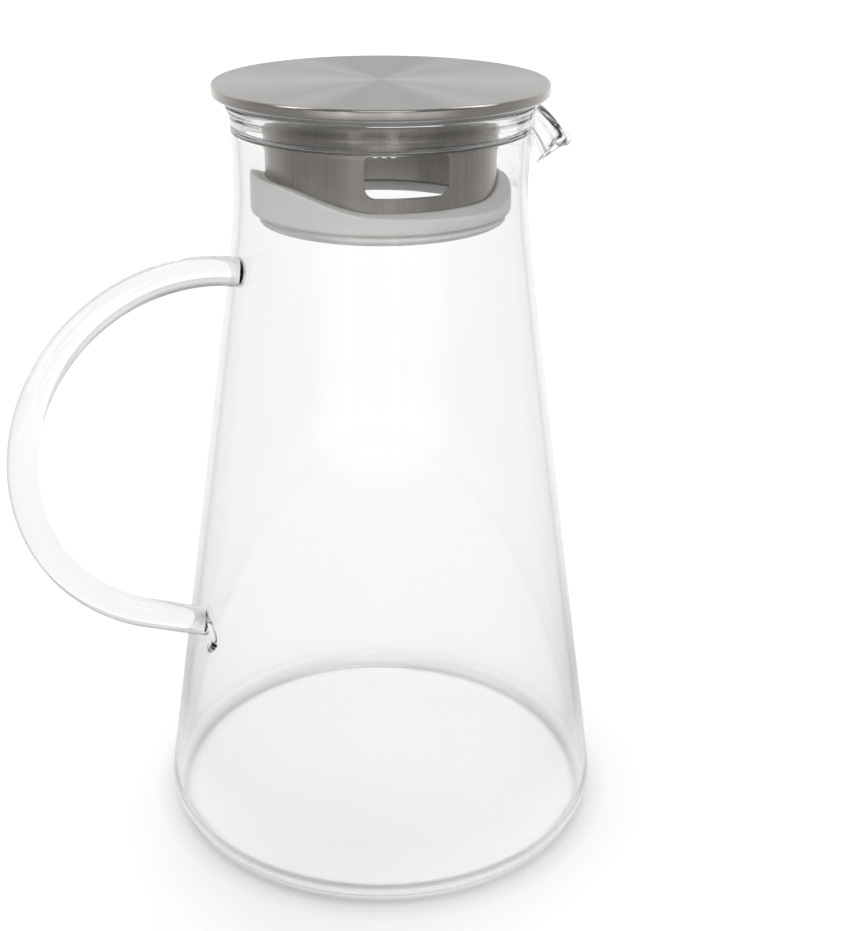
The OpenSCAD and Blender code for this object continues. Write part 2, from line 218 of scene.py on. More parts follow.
def handle_mesh(n=48):
    """Bow with a straight tail; also returns point and inward direction of both ends."""
    # angle above the horizontal, on the far side from the pitcher, at which the rod's middle meets the wall
    top = 100.0
    for _ in range(12):
        top = math.degrees(math.acos((outside(BOW_H + BOW_R * math.sin(math.radians(top))) - BOW_OUT) / BOW_R))
    pts = []
    a = top + math.degrees(ROD_IN_TOP / BOW_R)
    while a > -TAIL:
        t = math.radians(a)
        pts.append((-BOW_OUT - BOW_R * math.cos(t), BOW_H + BOW_R * math.sin(t)))
        a -= math.degrees(ROD_STEP / BOW_R)
    t = math.radians(-TAIL)
    x0, z0 = -BOW_OUT - BOW_R * math.cos(t), BOW_H + BOW_R * math.sin(t)
    dx, dz = math.sin(math.radians(TAIL)), -math.cos(math.radians(TAIL))
    s = 0.0
    while True:
        x, z = x0 + dx * s, z0 + dz * s
        pts.append((x, z))
        if -x < outside(z) - ROD_IN_LOW:
            break
        s += ROD_STEP
    pts = np.array(pts)
    seg = np.linalg.norm(np.diff(pts, axis=0), axis=1)
    run = np.concatenate([[0], np.cumsum(seg)])
    total = run[-1]
    keys = ROD_START + [(total * 0.5, ROD_MIDDLE)] + [(total - before, r) for before, r in ROD_END]
    radii = np.interp(run, *zip(*keys))
    kernel = np.array([1, 2, 3, 2, 1]) / 9
    soft = np.convolve(np.pad(radii, 2, mode="edge"), kernel, mode="valid")
    tan = np.gradient(pts, axis=0)
    tan /= np.linalg.norm(tan, axis=1)[:, None]
    verts, faces = [], []
    for (x, z), (tx, tz), r in zip(pts, tan, soft):
        for k in range(n):
            b = 2 * math.pi * k / n
            c, s2 = r * math.cos(b), r * math.sin(b)
            verts.append(((x - tz * c) * MM, s2 * MM, (z + tx * c) * MM))
    m = len(pts)
    for i in range(m - 1):
        for k in range(n):
            q = (k + 1) % n
            faces.append([i * n + k, i * n + q, (i + 1) * n + q, (i + 1) * n + k])
    faces.append(list(range(n - 1, -1, -1)))
    faces.append([(m - 1) * n + k for k in range(n)])
    return verts, faces, [(pts[0], tan[0]), (pts[-1], -tan[-1])]


def fix_normals(ob):
    """Turns all faces outward."""
    bm = bmesh.new()
    bm.from_mesh(ob.data)
    bmesh.ops.recalc_face_normals(bm, faces=bm.faces)
    bm.to_mesh(ob.data)
    bm.free()


def boolean(target, tool, operation):
    """Cuts or joins the tool into the target's mesh and deletes the tool."""
    mod = target.modifiers.new("cut", "BOOLEAN")
    mod.operation, mod.solver, mod.object = operation, "EXACT", tool
    dg = bpy.context.evaluated_depsgraph_get()
    me = bpy.data.meshes.new_from_object(target.evaluated_get(dg))
    target.modifiers.clear()
    old = target.data
    target.data = me
    bpy.data.meshes.remove(old)
    bpy.data.objects.remove(tool)


def sphere_mesh(centre, r, n=32):
    """Ball round (x, z) in mm, on the plane y = 0."""
    pts = [(r * math.sin(math.pi * i / n), -r * math.cos(math.pi * i / n)) for i in range(n + 1)]
    pts[0], pts[-1] = (0.0, -r), (0.0, r)
    v, f = lathe(pts, 2 * n)
    return [(x + centre[0] * MM, y, z + centre[1] * MM) for x, y, z in v], f


def pin_mesh(start, end, r, n=32):
    """Round pin between two points in mm."""
    start, end = Vector(start), Vector(end)
    turn = (end - start).to_track_quat("Z", "Y")
    verts = []
    for q in (start, end):
        for k in range(n):
            a = 2 * math.pi * k / n
            verts.append((q + turn @ Vector((r * math.cos(a), r * math.sin(a), 0))) * MM)
    faces = [[k, (k + 1) % n, n + (k + 1) % n, n + k] for k in range(n)]
    faces += [list(range(n - 1, -1, -1)), [n + k for k in range(n)]]
    return verts, faces


def wall_point(turn, z, lift):
    """Point in mm on the outside of the wall, raised by lift."""
    r, t = outside(z) + lift, math.radians(turn)
    return Vector((r * math.cos(t), r * math.sin(t), z))


def tube_mesh(line, radii, n=20, per=6):
    """Round tube with domed ends through a few points in mm, with a radius at each."""
    m = len(line)
    path = []
    for i in range((m - 1) * per + 1):
        k = min(i // per, m - 2)
        t = i / per - k
        p0, p1, p2, p3 = (line[max(0, min(m - 1, k + d))] for d in (-1, 0, 1, 2))
        q = 0.5 * (2 * p1 + (p2 - p0) * t + (2 * p0 - 5 * p1 + 4 * p2 - p3) * t * t
                   + (3 * p1 - p0 - 3 * p2 + p3) * t ** 3)
        path.append((q, radii[k] + (radii[k + 1] - radii[k]) * t))
    rings = []
    for end, inward in ((0, 1), (-1, -1)):
        q, r = path[end]
        along = (path[end + inward][0] - q).normalized()
        dome = [(q - along * r * math.sin(a), r * math.cos(a)) for a in (math.radians(d) for d in (80, 55, 30))]
        rings.append(dome if end == 0 else dome[::-1])
    path = rings[0] + path + rings[1]
    verts, faces = [], []
    side = None
    for i, (q, r) in enumerate(path):
        along = (path[min(i + 1, len(path) - 1)][0] - path[max(i - 1, 0)][0]).normalized()
        side = along.orthogonal().normalized() if side is None else (side - along * side.dot(along)).normalized()
        up = along.cross(side)
        for k in range(n):
            a = 2 * math.pi * k / n
            verts.append((q + (side * math.cos(a) + up * math.sin(a)) * r) * MM)
    for i in range(len(path) - 1):
        for k in range(n):
            j = (k + 1) % n
            faces.append([i * n + k, i * n + j, (i + 1) * n + j, (i + 1) * n + k])
    faces.append(list(range(n - 1, -1, -1)))
    faces.append([(len(path) - 1) * n + k for k in range(n)])
    return verts, faces


def tool_mesh(name, verts, faces):
    """Closed mesh for a boolean."""
    ob = add_mesh(name, verts, faces)
    fix_normals(ob)
    return ob


# thread of glass below the lower foot: (turn, height, lift off the wall) and its radius along it
DRIP = [(-178, 79.3, 0.2), (-175, 78.6, 0.5), (-172.6, 76.9, 0.6), (-171.4, 74.6, 0.6), (-171.8, 72.4, 0.6),
        (-173.2, 70.9, 0.6)]
DRIP_R = [1.0, 0.95, 0.9, 1.0, 1.3, 1.45]
DRIP_PINS, DRIP_PIN_R = [(-174.5, 78.4), (-172.6, 71.7)], 0.35   # (turn, height) at which it is fused to the wall
BEAD_PIN_R = 0.7

glass = tool_mesh("glass_body", *vessel_mesh())
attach(glass, "pitcher")
rod_verts, rod_faces, rod_ends = handle_mesh()
rod = tool_mesh("rod_tool", rod_verts, rod_faces)
# the vessel's outside from 40 to 212 mm up, which trims what is fused to it
core = [(0.0, 40.0)] + [(outside(40.0 + 4 * i) + FUSE_GAP, 40.0 + 4 * i) for i in range(44)] + [(0.0, 212.0)]
boolean(rod, tool_mesh("core_tool", *lathe(core, 256)), "DIFFERENCE")
for (x, z), (tx, tz) in rod_ends:
    pin = tool_mesh("pin_tool", *pin_mesh((x, 0, z), (x + 5 * tx, 0, z + 5 * tz), FUSE_R))
    boolean(rod, pin, "UNION")
boolean(glass, rod, "UNION")
drip = tool_mesh("drip_tool", *tube_mesh([wall_point(*place) for place in DRIP], DRIP_R))
boolean(drip, tool_mesh("core_tool", *lathe(core, 256)), "DIFFERENCE")
for a, z in DRIP_PINS:
    pin = tool_mesh("pin_tool", *pin_mesh(wall_point(a, z, -1.0), wall_point(a, z, 0.7), DRIP_PIN_R))
    boolean(drip, pin, "UNION")
boolean(glass, drip, "UNION")
bead_c = (TIP[0] + BEAD / 5, TIP[1])
boolean(glass, tool_mesh("hollow_tool", *sphere_mesh(bead_c, BEAD / 2 + FUSE_GAP)), "DIFFERENCE")
bead = tool_mesh("bead_tool", *sphere_mesh(bead_c, BEAD / 2))
root = drawn((inside(RIM_H - 5) + WALL / 2, RIM_H - 5), 1.0, 0.5)
aim = Vector((root[0] - bead_c[0], 0, root[1] - bead_c[1])).normalized() * (BEAD / 2 + 1)
pin = pin_mesh((bead_c[0], 0, bead_c[1]), (bead_c[0] + aim[0], 0, bead_c[1] + aim[2]), BEAD_PIN_R)
boolean(bead, tool_mesh("pin_tool", *pin), "UNION")
boolean(glass, bead, "UNION")


def shade_by_angle(ob, degrees):
    """Smooth shading, with sharp edges where faces meet at more than an angle."""
    bm = bmesh.new()
    bm.from_mesh(ob.data)
    bmesh.ops.remove_doubles(bm, verts=bm.verts, dist=1e-6)
    for ed in bm.edges:
        ed.smooth = not (len(ed.link_faces) == 2 and ed.calc_face_angle(0) > math.radians(degrees))
    for f in bm.faces:
        f.smooth = True
    bm.to_mesh(ob.data)
    bm.free()


shade_by_angle(glass, 32)
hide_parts("glass_vessel", "handle")

# ---------------------------------------------------------------- lid
STEP_Z = RIM_H + SEAT
EDGE_Z = STEP_Z + STEP
LID_TOP = EDGE_Z + LID_EDGE
BASE_RISE = EDGE_Z + SHEET
COLLAR_Z = STEP_Z - COLLAR_H
WINDOW_Z = COLLAR_Z + WIN_UP + WIN_H / 2
BASE_BEND = 0.35   # radius of the base's lower corner

r = EDGE_R
cap_pts = [(0.0, LID_TOP)] + [(x, LID_TOP) for x in (6, 12, 18, 24, 30, 36, 42, 46, 48)]
cap_pts += arc((LID_R - r, LID_TOP - r), r, 90, 0, 8)
cap_pts += arc((LID_R - r, EDGE_Z + r), r, 0, -90, 8)
cap_pts += [(LID_R - HEM + 0.1, EDGE_Z), (LID_R - HEM, EDGE_Z + 0.1), (LID_R - HEM, BASE_RISE - 0.1),
            (LID_R - HEM + 0.1, BASE_RISE)]
cap_pts += arc((LID_R - r, EDGE_Z + r), r - SHEET, -90, 0, 4)
cap_pts += arc((LID_R - r, LID_TOP - r), r - SHEET, 0, 90, 4)
cap_pts += [(24.0, LID_TOP - SHEET), (0.0, LID_TOP - SHEET)]
cap = add_mesh("steel_cap", *lathe(cap_pts[::-1], 192), body="lid", slot="steel")
fix_normals(cap)
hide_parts("lid_cap")

r = BASE_BEND
base_pts = [(0.0, STEP_Z), (20.0, STEP_Z), (COLLAR_R, STEP_Z), (44.0, STEP_Z)]
base_pts += arc((STEP_R - r, STEP_Z + r), r, -90, 0, 5)
base_pts += [(STEP_R, BASE_RISE - 0.05), (STEP_R + 0.05, BASE_RISE), (LID_R - 2 * SHEET - 0.1, BASE_RISE),
             (LID_R - 2 * SHEET, BASE_RISE + 0.1), (LID_R - 2 * SHEET, BASE_RISE + SHEET - 0.1),
             (LID_R - 2 * SHEET - 0.1, BASE_RISE + SHEET), (STEP_R - r, BASE_RISE + SHEET)]
base_pts += [(STEP_R - SHEET, BASE_RISE + SHEET - 0.3), (STEP_R - SHEET, STEP_Z + SHEET + 0.2),
             (STEP_R - SHEET - 0.2, STEP_Z + SHEET), (24.0, STEP_Z + SHEET), (0.0, STEP_Z + SHEET)]
base = add_mesh("steel_base", *lathe(base_pts, 192), body="lid", slot="steel")
fix_normals(base)
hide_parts("lid_base")


# ---------------------------------------------------------------- pour collar
def prism(outline, r0, r1, turn, z):
    """Closed prism along -Y turned by an angle: outline is (across, up) in mm."""
    n = len(outline)
    t = math.radians(turn)
    verts = []
    for py in (-r0, -r1):
        for px, up in outline:
            verts.append(((px * math.cos(t) - py * math.sin(t)) * MM, (px * math.sin(t) + py * math.cos(t)) * MM,
                          (z + up) * MM))
    faces = [[i, (i + 1) % n, n + (i + 1) % n, n + i] for i in range(n)]
    faces += [list(range(n - 1, -1, -1)), [n + i for i in range(n)]]
    return verts, faces


def round_rect(w, h, rr, n=8):
    """Outline (across, up) of a rectangle with round corners."""
    out = []
    for cx, cy, a0 in ((w / 2 - rr, -h / 2 + rr, -90), (w / 2 - rr, h / 2 - rr, 0),
                       (-w / 2 + rr, h / 2 - rr, 90), (-w / 2 + rr, -h / 2 + rr, 180)):
        out += arc((cx, cy), rr, a0, a0 + 90, n)
    return out


CUT_BEFORE, CUT_BEYOND = 20, 40       # radii between which the window's and slots' tools cut
ROUND_END = 0.01                     # mm by which a slot's corner radius stays below half its width
EDGE_LAP, EDGE_PROUD = 0.15, 0.03    # rolled edge of the window: laps the opening, stands out inside the seal's gap

e = 0.12                             # small chamfer of the collar's ends
tube = [(COLLAR_R - e, COLLAR_Z), (COLLAR_R, COLLAR_Z + e)]
tube += [(COLLAR_R, COLLAR_Z + (STEP_Z - COLLAR_Z) * i / 12) for i in range(1, 12)]
tube += [(COLLAR_R, STEP_Z - e), (COLLAR_R - e, STEP_Z), (COLLAR_R - FLANGE, STEP_Z),
         (COLLAR_R - FLANGE, STEP_Z - COLLAR_T)]
tube += arc((COLLAR_R - COLLAR_T - 1, STEP_Z - COLLAR_T - 1), 1, 90, 0, 4)
tube += [(COLLAR_R - COLLAR_T, COLLAR_Z + (STEP_Z - COLLAR_Z) * i / 12) for i in range(11, 0, -1)]
tube += [(COLLAR_R - COLLAR_T, COLLAR_Z + e), (COLLAR_R - COLLAR_T + e, COLLAR_Z)]
collar = add_mesh("steel_collar", *lathe(tube, 240, closed=True), body="lid", slot="steel")
fix_normals(collar)
window = prism(round_rect(WIN_W, WIN_H, WIN_R), CUT_BEFORE, CUT_BEYOND, WIN_TURN, WINDOW_Z)
boolean(collar, tool_mesh("window_tool", *window), "DIFFERENCE")
for i in range(SLOTS):
    turn = 180 + WIN_TURN + (i - (SLOTS - 1) / 2) * math.degrees(SLOT_PITCH / COLLAR_R)
    slot = prism(round_rect(SLOT_W, SLOT_H, SLOT_W / 2 - ROUND_END, 5), CUT_BEFORE, CUT_BEYOND, turn, WINDOW_Z)
    boolean(collar, tool_mesh("slot_tool", *slot), "DIFFERENCE")
shade_by_angle(collar, 30)


def rolled_edge(outline, r, wire, turn, z, n=10):
    """Rolled edge of an opening in the collar's wall: a wire that follows the outline (across, up) on radius r."""
    path = []
    for (x0, y0), (x1, y1) in zip(outline, outline[1:] + outline[:1]):
        parts = max(1, int(math.hypot(x1 - x0, y1 - y0) / 0.7))
        path += [(x0 + (x1 - x0) * i / parts, y0 + (y1 - y0) * i / parts) for i in range(parts)]
    t = math.radians(turn)
    line = []
    for x, y in path:
        py = -math.sqrt(r * r - x * x)
        line.append(Vector((x * math.cos(t) - py * math.sin(t), x * math.sin(t) + py * math.cos(t), z + y)))
    m = len(line)
    verts, faces = [], []
    for i, q in enumerate(line):
        along = (line[(i + 1) % m] - line[i - 1]).normalized()
        out = Vector((q[0], q[1], 0)).normalized()
        side = along.cross(out).normalized()
        for k in range(n):
            a = 2 * math.pi * k / n
            verts.append((q + out * wire * math.cos(a) + side * wire * math.sin(a)) * MM)
    for i in range(m):
        for k in range(n):
            q, j = (k + 1) % n, (i + 1) % m
            faces.append([i * n + k, i * n + q, j * n + q, j * n + k])
    return verts, faces


wire = rolled_edge(round_rect(WIN_W + 2 * EDGE_LAP, WIN_H + 2 * EDGE_LAP, WIN_R + EDGE_LAP),
                   COLLAR_R - COLLAR_T / 2, COLLAR_T / 2 + EDGE_PROUD, WIN_TURN, WINDOW_Z)
edge = add_mesh("steel_window_edge", *wire, body="lid", slot="steel")
fix_normals(edge)
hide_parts("pour_collar")


# ---------------------------------------------------------------- silicone seal
SHOULDER_LOW, SHOULDER_HIGH = 28.0, 76.0   # degrees from the low places between which the upper lip rises


def shoulder_share(a):
    """Share of the shoulder's height that the seal's upper lip has at an angle."""
    d = abs((a % 180) - 90)
    t = min(1.0, max(0.0, (d - SHOULDER_LOW) / (SHOULDER_HIGH - SHOULDER_LOW)))
    return t * t * (3 - 2 * t)


def seal_section(a):
    """Corners (r, z) of the seal's section at an angle: lower lip, groove, sleeve and upper lip."""
    w = shoulder_share(a)
    t = LIP_T
    top = COLLAR_Z + LOW_UP + SHOULDER * w - LEAN * math.cos(math.radians(a))
    root = COLLAR_Z + LOW_UP + t + SHOULDER * w * 0.9
    groove = COLLAR_Z - t / 4
    lower = SEAL_R - t / 3 - SLEEVE * w
    bore = COLLAR_R + SEAL_CLEAR
    ledge = COLLAR_R - 1.3 * COLLAR_T
    z0 = COLLAR_Z - SEAL_HANG
    return [(ledge, z0), (COLLAR_R + SLEEVE, z0), (lower - t / 4, z0 + t), (lower, z0 + 1.5 * t),
            (lower - t / 4, z0 + 2 * t), (SEAL_R - SLEEVE, groove), (SEAL_R - t / 5, groove + t / 4),
            (SEAL_R, groove + t), (SEAL_R, top - t / 2), (SEAL_R - t / 3, top),
            (SEAL_R - SLEEVE, (2 * top + root) / 3), (COLLAR_R + SLEEVE / 2, root), (bore, root),
            (bore, COLLAR_Z - SEAL_UNDER), (ledge, COLLAR_Z - SEAL_UNDER)]


def round_section(key, rr=0.35, n=3):
    """Rounds each corner of a closed outline by a small radius, with n + 1 points."""
    out = []
    m = len(key)
    for i in range(m):
        p, q, s = np.array(key[i - 1]), np.array(key[i]), np.array(key[(i + 1) % m])
        u, v = p - q, s - q
        lu, lv = np.linalg.norm(u), np.linalg.norm(v)
        d = min(rr, lu * 0.45, lv * 0.45)
        a, b = q + u / lu * d, q + v / lv * d
        for j in range(n + 1):
            t = j / n
            out.append(tuple((1 - t) ** 2 * a + 2 * t * (1 - t) * q + t * t * b))
    return out


def ring_loft(section, n):
    """Ring through n sections round the axis, each given by its angle."""
    verts, faces = [], []
    for k in range(n):
        a = 360.0 * k / n
        t = math.radians(a)
        for rr, z in section(a):
            verts.append((rr * MM * math.cos(t), rr * MM * math.sin(t), z * MM))
    m = len(verts) // n
    for k in range(n):
        q = (k + 1) % n
        for j in range(m):
            i = (j + 1) % m
            faces.append([k * m + j, k * m + i, q * m + i, q * m + j])
    return verts, faces


ring = ring_loft(lambda a: round_section(seal_section(a)), 288)
seal = add_mesh("silicone_seal", *ring, body="seal", slot="silicone")
fix_normals(seal)
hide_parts("seal_ring")


# ---------------------------------------------------------------- materials
def nodes_of(name):
    """New material, its empty node tree and its output node."""
    mat = bpy.data.materials.new(name)
    mat.use_nodes = True
    nt = mat.node_tree
    nt.nodes.clear()
    out = nt.nodes.new("ShaderNodeOutputMaterial")
    return mat, nt, out


def node(nt, kind, **values):
    """New node; each value goes to the input of that name, or else to the node's own setting."""
    n = nt.nodes.new(kind)
    for key, value in values.items():
        if key in n.inputs:
            n.inputs[key].default_value = value
        else:
            setattr(n, key, value)
    return n


def set_in(n, name, value):
    n.inputs[name].default_value = value


def map_range(nt, source, start, end, low, high):
    """Maps a value from start..end to low..high, clamped."""
    n = node(nt, "ShaderNodeMapRange")
    for name, value in (("From Min", start), ("From Max", end), ("To Min", low), ("To Max", high)):
        set_in(n, name, value)
    nt.links.new(source, n.inputs["Value"])
    return n.outputs[0]


def maths(nt, operation, first, second):
    """Math node; first is a socket and second a socket or a number."""
    n = node(nt, "ShaderNodeMath", operation=operation)
    nt.links.new(first, n.inputs[0])
    if isinstance(second, float):
        n.inputs[1].default_value = second
    else:
        nt.links.new(second, n.inputs[1])
    return n.outputs[0]


# Clear borosilicate: lets lamps through, so that its shadow stays as pale as real glass casts
mat_glass, nt, out = nodes_of("clear_glass")
pr = node(nt, "ShaderNodeBsdfPrincipled")
set_in(pr, "Base Color", (0.995, 0.996, 0.994, 1))
set_in(pr, "Roughness", 0.0)
set_in(pr, "IOR", 1.47)
set_in(pr, "Transmission Weight", 1.0)
tr = node(nt, "ShaderNodeBsdfTransparent")
set_in(tr, "Color", (0.975, 0.98, 0.978, 1))
lp = node(nt, "ShaderNodeLightPath")
mix = node(nt, "ShaderNodeMixShader")
nt.links.new(lp.outputs["Is Shadow Ray"], mix.inputs[0])
nt.links.new(pr.outputs[0], mix.inputs[1])
nt.links.new(tr.outputs[0], mix.inputs[2])
nt.links.new(mix.outputs[0], out.inputs["Surface"])
ab = node(nt, "ShaderNodeVolumeAbsorption")
set_in(ab, "Color", (0.43, 0.46, 0.42, 1))
set_in(ab, "Density", 12.0)
nt.links.new(ab.outputs[0], out.inputs["Volume"])


EDGE_START, EDGE_END = 0.0491, 0.0494   # radius (m) over which the brushed top turns into the rolled edge
# on the top and on the rolled edge: roughness, anisotropy, and share of green and of blue kept (the last two paint
# a warm reflection on the edge)
EDGE_LOOK = [(0.40, 0.22), (0.92, 0.30), (1.0, 0.965), (1.0, 0.915)]
ROUND_STRETCH, UP_STRETCH = 1.2, 60     # grain round the axis (per radian), and stretch of upright grain


def steel(name, radial, grain, dark, light):
    """Brushed steel with grain marks per m. radial: brushed round the axis; otherwise brushed upright."""
    mat, nt, out = nodes_of(name)
    pr = node(nt, "ShaderNodeBsdfPrincipled")
    set_in(pr, "Metallic", 1.0)
    set_in(pr, "Anisotropic", 0.75)
    set_in(pr, "Roughness", 0.3)
    tan = node(nt, "ShaderNodeTangent")
    tan.direction_type, tan.axis = "RADIAL", "Z"
    nt.links.new(tan.outputs[0], pr.inputs["Tangent"])
    set_in(pr, "Anisotropic Rotation", 0.25)
    tc = node(nt, "ShaderNodeTexCoord")
    if radial:
        flat = node(nt, "ShaderNodeVectorMath", operation="MULTIPLY")
        flat.inputs[1].default_value = (1, 1, 0)
        nt.links.new(tc.outputs["Object"], flat.inputs[0])
        radius = node(nt, "ShaderNodeVectorMath", operation="LENGTH")
        nt.links.new(flat.outputs[0], radius.inputs[0])
        # the rolled edge is smoother than the brushed top, and tinted warmer as a painted reflection
        look = [map_range(nt, radius.outputs["Value"], EDGE_START, EDGE_END, *pair) for pair in EDGE_LOOK]
        nt.links.new(look[0], pr.inputs["Roughness"])
        nt.links.new(look[1], pr.inputs["Anisotropic"])
        painted_edge_tint = node(nt, "ShaderNodeCombineXYZ")
        set_in(painted_edge_tint, "X", 1.0)
        nt.links.new(look[2], painted_edge_tint.inputs["Y"])
        nt.links.new(look[3], painted_edge_tint.inputs["Z"])
        # radius, angle and height as the noise's three axes
        sep = node(nt, "ShaderNodeSeparateXYZ")
        nt.links.new(tc.outputs["Object"], sep.inputs[0])
        turn = maths(nt, "ARCTAN2", sep.outputs[1], sep.outputs[0])
        marks = node(nt, "ShaderNodeCombineXYZ")
        nt.links.new(maths(nt, "MULTIPLY", radius.outputs["Value"], float(grain)), marks.inputs[0])
        nt.links.new(maths(nt, "MULTIPLY", turn, ROUND_STRETCH), marks.inputs[1])
        nt.links.new(maths(nt, "MULTIPLY", sep.outputs[2], float(grain)), marks.inputs[2])
    else:
        marks = node(nt, "ShaderNodeVectorMath", operation="MULTIPLY")
        marks.inputs[1].default_value = (grain, grain, grain / UP_STRETCH)
        nt.links.new(tc.outputs["Object"], marks.inputs[0])
    noise = node(nt, "ShaderNodeTexNoise")
    set_in(noise, "Scale", 1.0)
    set_in(noise, "Detail", 4.0)
    nt.links.new(marks.outputs[0], noise.inputs["Vector"])
    ramp = node(nt, "ShaderNodeValToRGB")
    for end, place, tone in zip(ramp.color_ramp.elements, (0.25, 0.75), (dark, light)):
        end.position = place
        end.color = (*tone, 1)
    nt.links.new(noise.outputs["Fac"], ramp.inputs[0])
    colour = ramp.outputs[0]
    # painted warm reflection on the rolled edge, multiplied into the grain's colour
    if radial:
        tinted = node(nt, "ShaderNodeVectorMath", operation="MULTIPLY")
        nt.links.new(colour, tinted.inputs[0])
        nt.links.new(painted_edge_tint.outputs[0], tinted.inputs[1])
        colour = tinted.outputs[0]
    nt.links.new(colour, pr.inputs["Base Color"])
    bmp = node(nt, "ShaderNodeBump")
    set_in(bmp, "Strength", 0.12)
    set_in(bmp, "Distance", 0.00005)
    nt.links.new(noise.outputs["Fac"], bmp.inputs["Height"])
    nt.links.new(bmp.outputs[0], pr.inputs["Normal"])
    nt.links.new(pr.outputs[0], out.inputs["Surface"])
    return mat


mat_lid = steel("circular_brushed_steel", True, 4200, (0.525, 0.52, 0.515), (0.595, 0.59, 0.585))
# the collar's tones are darker and warmer than the lid's for the same steel: painted shade, for the collar standing
# under the lid inside the glass
mat_collar = steel("upright_brushed_steel", False, 1500, (0.43, 0.40, 0.365), (0.53, 0.495, 0.455))

# Silicone: matt and translucent, with a faint moulded grain
mat_seal, nt, out = nodes_of("translucent_silicone")
pr = node(nt, "ShaderNodeBsdfPrincipled")
set_in(pr, "Base Color", (0.97, 0.955, 0.925, 1))
set_in(pr, "Roughness", 0.38)
set_in(pr, "IOR", 1.41)
set_in(pr, "Transmission Weight", 0.08)
set_in(pr, "Subsurface Weight", 0.6)
set_in(pr, "Subsurface Radius", (0.0022, 0.0022, 0.0021))
set_in(pr, "Subsurface Scale", 1.0)
noise = node(nt, "ShaderNodeTexNoise")
set_in(noise, "Scale", 900.0)
bmp = node(nt, "ShaderNodeBump")
set_in(bmp, "Strength", 0.05)
set_in(bmp, "Distance", 0.0001)
nt.links.new(noise.outputs["Fac"], bmp.inputs["Height"])
nt.links.new(bmp.outputs[0], pr.inputs["Normal"])
nt.links.new(pr.outputs[0], out.inputs["Surface"])


def dress(ob, mat):
    ob.data.materials.clear()
    ob.data.materials.append(mat)


dress(glass, mat_glass)
dress(cap, mat_lid)
dress(base, mat_lid)
dress(collar, mat_collar)
dress(edge, mat_lid)
dress(seal, mat_seal)

# ---------------------------------------------------------------- floor, world and lamps
CAMERA_TURN = math.radians(-26)   # the photographer's side, from which the lamps are placed


def from_camera(right, back, up):
    """Point or direction given from the photographer's side: to the right, away from the camera, up."""
    c, s = math.cos(CAMERA_TURN), math.sin(CAMERA_TURN)
    return (right * c - back * s, right * s + back * c, up)


FLOOR_GREY, FLOOR_HALF = 0.62, 12.0
FLOOR_Z = 0.00002   # m, a hair above the foot, so that the two faces don't coincide
# own light of the floor at a distance (m) from the pitcher's axis: painted light under it, a painted contact shadow
# round the foot, and the level beside it
FOOT_PAINTED_LIGHT_AND_SHADOW = [(0.060, 0.59), (0.0645, 0.57), (0.0675, 0.47), (0.0705, 0.05), (0.0735, 0.18), (0.080, 0.30),
              (0.100, 0.36)]
FAR_FROM, FAR_TO, FAR_LIGHT = 0.25, 2.0, 0.32        # m, and what is added there
# what mirrored rays see from the photographer's side (0) to the white sweep (1): in the room, on the floor
ROOM_MARKS = [(0.30, 0.16), (0.56, 0.32), (0.86, 1.0)]
FLOOR_MARKS = [(0.30, 0.27), (0.58, 0.30), (0.80, 0.50), (0.92, 0.72), (0.975, 0.90), (1.0, 1.0)]
ROOM_LIFT, FLOOR_LIFT = 0.5, -0.55                   # how much a ray's rise counts as turning to the white sweep
NEAR_MIRROR, NEAR_FROM, NEAR_TO = 0.90, 0.085, 0.13  # level on the floor close to the foot, and where it ends (m)
FRONT_MIRROR, FRONT_FROM, FRONT_TO = 0.8, 1.0, 1.3   # level on the floor in front, and where it begins (m)
AHEAD_FROM, AHEAD_TO = 0.22, 0.10                    # places on FLOOR_MARKS's scale that count as in front
UPPER_ROOM, UPPER_FROM, UPPER_TO = 0.45, 0.22, 0.50  # level that rays bent upward by thick glass see, by their rise
EYE_Z = 0.15                                         # height (m) from which the floor's directions are counted
FILL, FILL_TINT = 0.40, (0.98, 0.99, 1.0, 1)         # the world's light on the object


def mirrored_part(nt, level):
    """The level for rays that were mirrored on their way, and 1 for all others."""
    lp = node(nt, "ShaderNodeLightPath")
    n = node(nt, "ShaderNodeMapRange")
    set_in(n, "To Min", 1.0)
    nt.links.new(maths(nt, "GREATER_THAN", lp.outputs["Glossy Depth"], 0.5), n.inputs["Value"])
    nt.links.new(level, n.inputs["To Max"])
    return n.outputs[0]


def blend_levels(nt, share, low, high):
    """Mix of two levels, of which each is a socket or a number."""
    n = node(nt, "ShaderNodeMix", data_type="FLOAT")
    nt.links.new(share, n.inputs[0])
    for place, value in ((2, low), (3, high)):
        if isinstance(value, float):
            n.inputs[place].default_value = value
        else:
            nt.links.new(value, n.inputs[place])
    return n.outputs[0]


def fill_ramp(nt, marks, source):
    """Colour ramp with (position, level) marks, fed by a value."""
    ramp = node(nt, "ShaderNodeValToRGB")
    ends = ramp.color_ramp.elements
    while len(ends) < len(marks):
        ends.new(0.5)
    for end, (place, value) in zip(ends, marks):
        end.position = place
        end.color = (value, value, value, 1)
    nt.links.new(source, ramp.inputs[0])
    return ramp.outputs[0]


